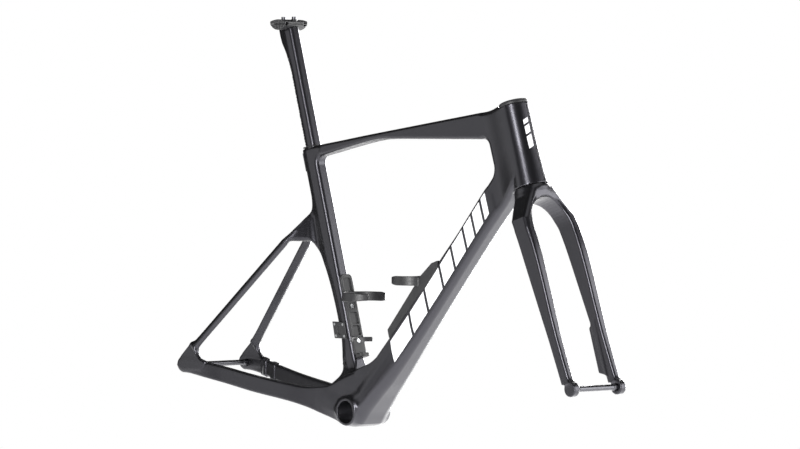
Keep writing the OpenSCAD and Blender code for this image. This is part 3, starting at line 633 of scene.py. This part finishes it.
# ---- Seatpost and saddle clamp fields ----
post_back = Profile((400, -16), (640, -16), (660, -16.8), (675, -19), (690, -24.5), (704, -31), (716, -33))


def post_field(x, y, z):
    sx, sz = seat.split(x, z)
    back = post_back(sz)
    half_width = 12 - 0.42 * ramp(np.maximum(back, -18) + 20 - sx, 9)
    shape = rounded(sx - (16 + back) / 2, y, (16 - back) / 2, half_width, 8)
    shape = np.maximum(shape, 401 - sz)
    saddle = np.hypot(x - tilt_centre[0], z - tilt_centre[2])
    shape = trim(shape, 26.2 - saddle, 1)
    shape = np.maximum(shape, z - RAIL_Z)
    core = rounded(sx, y, 13.4, 9.4, 6.4)
    return np.maximum(shape, -np.maximum(core, sz - 668))


def clamp_parts(x, y, z):
    along = x - tilt_centre[0]
    ribs = 0.45 * (1 + np.cos(2 * math.pi * along / 4.2)) * ease(20 - np.abs(along), 0, 4)
    rail = np.hypot(np.abs(y) - 22, z - RAIL_Z) - 3.55
    bolts = np.hypot(np.abs(along) - 14.5, y)
    return along, np.abs(y) - 28 + ribs, rail, bolts


def cradle_field(x, y, z):
    along, ends, rail, bolts = clamp_parts(x, y, z)
    bowl = np.hypot(along, z - tilt_centre[2]) - 25.9
    shape = rounded_both(bowl, np.abs(along) - 21, 1.5)
    shape = rounded_both(shape, z - RAIL_Z + 0.15, 0.5)
    shape = trim(shape, ends, 1.6)
    shape = trim(shape, -rail, 0.8)
    groove = np.hypot(np.abs(y) - 13, z - RAIL_Z + 12) - 2.6
    return trim(np.maximum(shape, 2.6 - bolts), -groove, 1)


def clamp_top_field(x, y, z):
    along, ends, rail, bolts = clamp_parts(x, y, z)
    dome = np.hypot(along, z - RAIL_Z + 51.5) - 60
    ridge = 0.5 * ease(np.abs(np.abs(y) - 11), 0.6, 1.8)
    shape = rounded_both(dome + 0.5 - ridge, np.abs(along) - 20.8, 1.2)
    boss = rounded_both(bolts - 5.6, z - RAIL_Z - 8.8, 0.5)
    shape = join(shape, boss, 3)
    shape = rounded_both(shape, RAIL_Z + 0.15 - z, 0.5)
    shape = trim(shape, ends, 2)
    shape = trim(shape, -rail, 0.8)
    return np.maximum(shape, 2.75 - bolts)


# ---- Bottle cage fields ----
SEAT_RING = (0.1, 206.5)
DOWN_RING = (132.6, 240)


def cage_ring(x, side, z, centre, way):
    """A flat-sided ring around a bottle with a mouth 60 degrees wide, towards +x or -x by way."""
    rx = (x - centre[0]) * way
    tall = 8.4 - 2.6 * ease(rx, 2, 33)
    ring = rounded(np.hypot(rx, side) - 38.5, z - centre[1], 1.5, tall, 1.2)
    mouth = math.sin(math.radians(30)) * rx - math.cos(math.radians(30)) * side
    return trim(ring, mouth, 3)


def seat_cage_field(x, y, z):
    side = np.abs(y)
    sx, sz = seat.split(x, z)
    plate = rounded_both(rounded(sz - 175, y, 75, 14, 8), between(sx, SEAT_FRONT + 0.1, 23.3), 1.4)
    for low, high in ((136, 153.5), (157, 179), (201, 243)):
        window = rounded(sz - (low + high) / 2, y, (high - low) / 2, 9, 3)
        plate = trim(plate, -np.maximum(window, SEAT_FRONT + 2.4 - sx), 0.8)
    for bolt in (126, 190):
        plate = trim(plate, -np.maximum(np.hypot(sz - bolt, y) - 5, SEAT_FRONT + 3.1 - sx), 0.6)
        plate = np.maximum(plate, 2.65 - np.hypot(sz - bolt, y))
    shape = join(plate, cage_ring(x, side, z, SEAT_RING, 1), 4)
    px = x - 23.1
    prong = rounded(np.hypot(px, y) - 38.5, z - 129, 1.5, 4.2, 1.2)
    prong = trim(prong, np.maximum(px * math.sin(0.75) + side * math.cos(0.75), 1.5 - side), 2)
    shape = join(shape, prong, 3)
    lip = rounded_both(rounded(sx - 25.8, y, 8.5, 11, 4), between(sz, 94.2, 101), 1.4)
    shape = join(shape, lip, 3)
    return np.maximum(shape, SEAT_FRONT + 0.1 - sx)


down_wall = [(160, 15), (160, 27), (168, 39), (300, 39), (335, 33), (350, 23), (350, 15)]


def down_cage_field(x, y, z):
    side = np.abs(y)
    dx, s = down.split(x, z)
    up = -dx
    tray = rounded_both(rounded(s - 254.5, y, 89.5, 18.5, 3), up - 29, 1)
    for low, high in ((170, 214), (236, 278), (300, 340)):
        window = rounded(s - (low + high) / 2, y, (high - low) / 2, 10, 4)
        tray = trim(tray, -np.maximum(window, 26.6 - up), 0.8)
    for bolt in (225, 289):
        tray = trim(tray, -np.maximum(np.hypot(s - bolt, y) - 5.2, 27.4 - up), 0.6)
        tray = np.maximum(tray, 2.65 - np.hypot(s - bolt, y))
    walls = rounded_both(polygon(s, up, down_wall), np.abs(side - 19.2) - 1.8, 1)
    inner = np.maximum(join(tray, cage_ring(x, side, z, DOWN_RING, -1), 4), 24.4 - up)
    return join(inner, walls, 3)


# ---- Small trim fields ----
def cover_field(x, y, z):
    hx, hz = head.split(x, z)
    turn = np.hypot(hx, y)
    shape = rounded_both(turn - 26.5 + 0.7 * ease(hz, -4, 0), between(hz, DECK_Z + 0.15, -0.05), 1.3)
    groove = np.hypot(turn - 22.2, hz + 0.1) - 0.7
    return np.maximum(np.maximum(shape, 17.5 - turn), -groove)


def seal_field(x, y, z):
    sx, _ = seat.split(x, z)
    ring = rounded(sx, y, 17.0, 13.0, 9.6)
    lip = rounded_both(ring, np.abs(seat_top_plane(x, z) - 0.5) - 0.9, 0.5)
    return np.maximum(lip, -rounded(sx, y, 16.05, 12.05, 8.65))


plate_low, plate_high = (np.array(v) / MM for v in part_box("front_derailleur_mount"))
PLATE_LEAN = 6.7
plate_outline = [(plate_low[0] + PLATE_LEAN, plate_low[2]), (plate_low[0], plate_high[2]),
                 (plate_high[0] - PLATE_LEAN, plate_high[2]), (plate_high[0], plate_low[2])]


def derailleur_plate_field(x, y, z):
    shape = rounded_both(polygon(x, z, plate_outline), between(y, -16.6, -13.2), 0.9)
    middle = (plate_low + plate_high) / 2
    slot = rounded(x - middle[0] - 0.22 * (middle[2] - z), z - middle[2], 5.5, 8.5, 5)
    return trim(shape, -np.maximum(slot, y + 15.2), 0.7)


def axle_field(centre, right, left):
    """A thru axle about the y axis: threaded foot on the right, waisted middle, flanged head on the left."""
    full, thin = 5.95, 5.0
    waist = Profile((-right, full), (-right + 16, full), (-right + 19, thin), (left - 22, thin),
                    (left - 19, full), (left, full))

    def field(x, y, z):
        turn = np.hypot(x - centre[0], z - centre[2])
        rod = rounded_both(turn - waist(y), between(y, -right, left + 2), 0.6)
        thread = 0.22 * np.cos(2 * math.pi * y / 1.6) * ease(-y, right - 12, right - 9)
        flange = rounded_both(turn - 8.8 + 0.35 * (y - left - 0.3), between(y, left + 0.35, left + 3.5), 0.5)
        socket = np.maximum(turn - 3.6, left - 3 - y)
        return np.maximum(np.minimum(rod + thread, flange), -socket)
    return field


def shell_rim_field(x, y, z):
    """The machined lip at each end of the bottom bracket bore."""
    wall = np.abs(np.hypot(x, z) - 22.1) - 1.7
    return rounded_both(wall, between(np.abs(y), 38.5, SHELL_HALF_WIDTH + 0.25), 0.5)


# ---- Build the skins ----
carbon, plastic, rubber = finishes["carbon"], finishes["satin_black"], finishes["rubber"]
finish_piece(skin("frame_skin", frame_field, (-433, -84, -33), (466, 84, 562), (2.3, 1.7, 2.3)),
             "root", carbon, "carbon", "head_tube", "top_tube", "down_tube", "seat_tube",
             "bottom_bracket_shell", "chainstay_left", "chainstay_right", "seatstay_yoke", "seatstay_left",
             "seatstay_right", "rear_dropout_left", "rear_dropout_right")
finish_piece(skin("fork_skin", fork_field, (405, -68, 30), (608, 68, 420), (1.9, 1.6, 1.9)),
             "fork", carbon, "carbon", "fork_crown", "fork_leg_left", "fork_leg_right",
             "fork_dropout_left", "fork_dropout_right")
finish_piece(skin("seatpost_skin", post_field, (-244, -15, 380), (-95, 15, 703), 1.6),
             "seatpost", carbon, "carbon", "seatpost")
finish_piece(skin("clamp_cradle_skin", cradle_field, (-232, -30, 685), (-183, 30, 703), 0.9),
             "rail_clamp", plastic, "satin_black", "rail_clamp_cradle")
finish_piece(skin("clamp_top_skin", clamp_top_field, (-231, -30, 699), (-184, 30, 713), 0.9),
             "rail_clamp", plastic, "satin_black", "rail_clamp_top")
finish_piece(skin("seat_cage_skin", seat_cage_field, (-62, -43, 85), (44, 43, 252), 1.15),
             "root", plastic, "satin_black", "bottle_cage_seat_tube")
finish_piece(skin("down_cage_skin", down_cage_field, (72, -43, 122), (215, 43, 290), 1.3),
             "root", plastic, "satin_black", "bottle_cage_down_tube")
finish_piece(skin("headset_cover_skin", cover_field, (350, -28, 538), (416, 28, 570), 1.1),
             "root", plastic, "satin_black", "headset_cover")
finish_piece(skin("derailleur_plate_skin", derailleur_plate_field, plate_low - 3, plate_high + 3, 0.9),
             "root", plastic, "satin_black", "front_derailleur_mount")
finish_piece(skin("seatpost_seal", seal_field, (-170, -16, 462), (-112, 16, 486), 0.8),
             "root", rubber, "rubber")
for name, low in (("shell_rim_right", -45.5), ("shell_rim_left", 36.5)):
    finish_piece(skin(name, shell_rim_field, (-25.5, low, -25.5), (25.5, low + 9, 25.5), (0.8, 0.6, 0.8)),
                 "root", carbon, "carbon")
for name, centre, right, left in (("rear_axle", rear_axle, 77, 80), ("front_axle", front_axle, 59.5, 62.5)):
    low_corner = centre + (-11, -right - 3 - centre[1], -11)
    high_corner = centre + (11, left + 6 - centre[1], 11)
    finish_piece(skin(name + "_rod", axle_field(centre, right, left), low_corner, high_corner, (0.9, 0.8, 0.9)),
                 name, finishes["dark_metal"], "dark_metal", name)


# ---- Plain graphic bars laid on the paint ----
BAR_RAISED = 0.12


def bar(name, axes, corners, outward, rows, columns):
    """A thin graphic patch: a parallelogram in the axes' own plane, dropped onto the frame from one side."""
    corners = np.array(corners, float)
    u, v = np.meshgrid(np.linspace(0, 1, columns), np.linspace(0, 1, rows))
    flat = (corners[0][:, None, None] * (1 - u) * (1 - v) + corners[1][:, None, None] * u * (1 - v)
            + corners[2][:, None, None] * u * v + corners[3][:, None, None] * (1 - u) * v).reshape(2, -1)
    if outward is None:
        # Wrapped round the front of the head tube: first coordinate is the angle in degrees from forward
        turn = np.radians(flat[0])
        reach = np.array([-np.cos(turn) * axes.across[0], -np.sin(turn), -np.cos(turn) * axes.across[2]]).T
        points = np.array([axes.point(60 * math.cos(a), 60 * math.sin(a), z) for a, z in zip(turn, flat[1])])
    else:
        points = np.array([axes.point(a, 60 * outward, z) for a, z in zip(*flat)])
        reach = np.repeat([[0.0, -outward, 0.0]], len(points), 0)
    for _ in range(30):
        points = points + reach * (0.9 * frame_field(*points.T))[:, None]
    g = slope(frame_field, points)
    normals = g / np.linalg.norm(g, axis=1)[:, None]
    points = points + normals * BAR_RAISED
    quads = [[r * columns + c, r * columns + c + 1, (r + 1) * columns + c + 1, (r + 1) * columns + c]
             for r in range(rows - 1) for c in range(columns - 1)]
    a, b, c = (points[i] for i in quads[0][:3])
    if np.dot(np.cross(b - a, c - b), normals[0]) < 0:
        quads = [q[::-1] for q in quads]
    piece = mesh_object(name, points, quads, normals)
    finish_piece(piece, "root", graphic, "carbon")


BAR_START = 142
BAR_TOP = -15
BAR_LEAN = 20
BAR_GAP = 7
bar_lengths = [64, 50, 50, 38, 38, 26, 26, 15]
for side_name, outward, low in (("right", -1, 18), ("left", 1, 8)):
    start = BAR_START
    for i, length in enumerate(bar_lengths):
        end = start + length
        corners = [(low, start), (low, end), (BAR_TOP, end + BAR_LEAN), (BAR_TOP, start + BAR_LEAN)]
        bar(f"down_bar_{side_name}_{i + 1}", down, corners, outward, 12, max(5, length // 5))
        start = end + BAR_GAP
for i, (low, high) in enumerate(((-92, -70), (-66, -52), (-48, -40))):
    bar(f"head_bar_{i + 1}", head, [(-24, low), (-2, low + 5), (-2, high + 5), (-24, high)], None, 8, 8)


# ---- Camera, floor and light ----
WHEEL_RADIUS = 0.34
FLOOR_RADIUS = 2.3
BOUNCE_SIZE = 2.0
floor_z = front_axle[2] * MM - WHEEL_RADIUS


def aim(thing, place, target):
    """Puts a camera or light at a place, looking at a target, upright."""
    back = (Vector(place) - Vector(target)).normalized()
    right = Vector((0, 0, 1)).cross(back).normalized()
    up = back.cross(right)
    thing.matrix_world = Matrix.Translation(place) @ Matrix((right, up, back)).transposed().to_4x4()


def add_camera():
    azimuth, elevation, roll = (math.radians(a) for a in (47.28, 1.27, 0.20))
    target = Vector((0.0954, 0, 0.3386))
    back = Vector((math.sin(azimuth) * math.cos(elevation), -math.cos(azimuth) * math.cos(elevation),
                   math.sin(elevation)))
    data = bpy.data.cameras.new("camera")
    data.lens = 189.6
    data.sensor_width = 36
    data.clip_end = 100
    camera = bpy.data.objects.new("camera", data)
    bpy.context.scene.collection.objects.link(camera)
    aim(camera, target + back * 7.526, target)
    camera.matrix_world = camera.matrix_world @ Matrix.Rotation(roll, 4, "Z")
    bpy.context.scene.camera = camera


def panel(name, azimuth, distance, height, width, tall, radiance):
    """A soft box standing at an azimuth (0 forward, 90 to the left), facing the frame."""
    turn = math.radians(azimuth)
    data = bpy.data.lights.new(name, "AREA")
    data.shape = "RECTANGLE"
    data.size, data.size_y = width, tall
    data.energy = radiance * math.pi * width * tall
    light = bpy.data.objects.new(name, data)
    light.visible_camera = False
    bpy.context.scene.collection.objects.link(light)
    aim(light, (distance * math.cos(turn), distance * math.sin(turn), height), (0, 0, 0.33))


def add_floor():
    """A round pale floor where the wheels would stand."""
    segments, rings = 96, 6
    turns = [2 * math.pi * i / segments for i in range(segments)]
    vertices = [(0, 0, floor_z)]
    for ring in range(1, rings + 1):
        radius = FLOOR_RADIUS * ring / rings
        vertices += [(radius * math.cos(turn), radius * math.sin(turn), floor_z) for turn in turns]
    faces = [(0, 1 + i, 1 + (i + 1) % segments) for i in range(segments)]
    for ring in range(rings - 1):
        first = 1 + ring * segments
        for i in range(segments):
            j = (i + 1) % segments
            faces.append((first + i, first + segments + i, first + segments + j, first + j))
    floor = mesh_object("studio_floor", np.array(vertices) / MM, faces)
    mat, nodes, link, shader, place = material("floor_paint", (0.85, 0.85, 0.85), 0.7)
    link(mix_colours(nodes, link, noise(nodes, link, place, 3), (0.82, 0.82, 0.82), (0.88, 0.88, 0.88)),
         shader.inputs["Base Color"])
    shader.inputs["Emission Color"].default_value = (1, 1, 1, 1)
    shader.inputs["Emission Strength"].default_value = 0.45
    floor.data.materials.append(mat)


def add_world():
    """White to the camera, and a dim grey room to everything else."""
    world = bpy.data.worlds.new("studio")
    bpy.context.scene.world = world
    world.use_nodes = True
    nodes, link = world.node_tree.nodes, world.node_tree.links.new
    background = nodes["Background"]
    rays = nodes.new("ShaderNodeLightPath")
    strength = nodes.new("ShaderNodeMapRange")
    strength.inputs["To Min"].default_value = 0.04
    strength.inputs["To Max"].default_value = 1.0
    link(rays.outputs["Is Camera Ray"], strength.inputs["Value"])
    link(strength.outputs["Result"], background.inputs["Strength"])
    background.inputs["Color"].default_value = (1, 1, 1, 1)


def bounce():
    """Light thrown back up from the floor around the frame."""
    data = bpy.data.lights.new("floor_bounce", "AREA")
    data.size = BOUNCE_SIZE
    data.energy = 0.8 * math.pi * BOUNCE_SIZE ** 2
    light = bpy.data.objects.new("floor_bounce", data)
    light.visible_camera = False
    light.matrix_world = Matrix.Translation((0.75, 0.4, floor_z + 0.005)) @ Matrix.Rotation(math.pi, 4, "X")
    bpy.context.scene.collection.objects.link(light)


add_camera()
add_floor()
bounce()
add_world()
panel("rear_right_panel", -134, 3.2, 0.6, 2.1, 2.6, 0.85)
panel("near_strip", -65, 3.6, 0.5, 0.8, 2.8, 25.0)
panel("front_panel", 30, 3.4, 0.6, 2.7, 2.6, 5.0)
panel("far_left_panel", 104, 3.4, 0.6, 2.6, 2.6, 16.0)
panel("top_panel", 10, 0.9, 3.2, 2.6, 2.2, 0.8)
bpy.context.scene.view_settings.view_transform = "Standard"
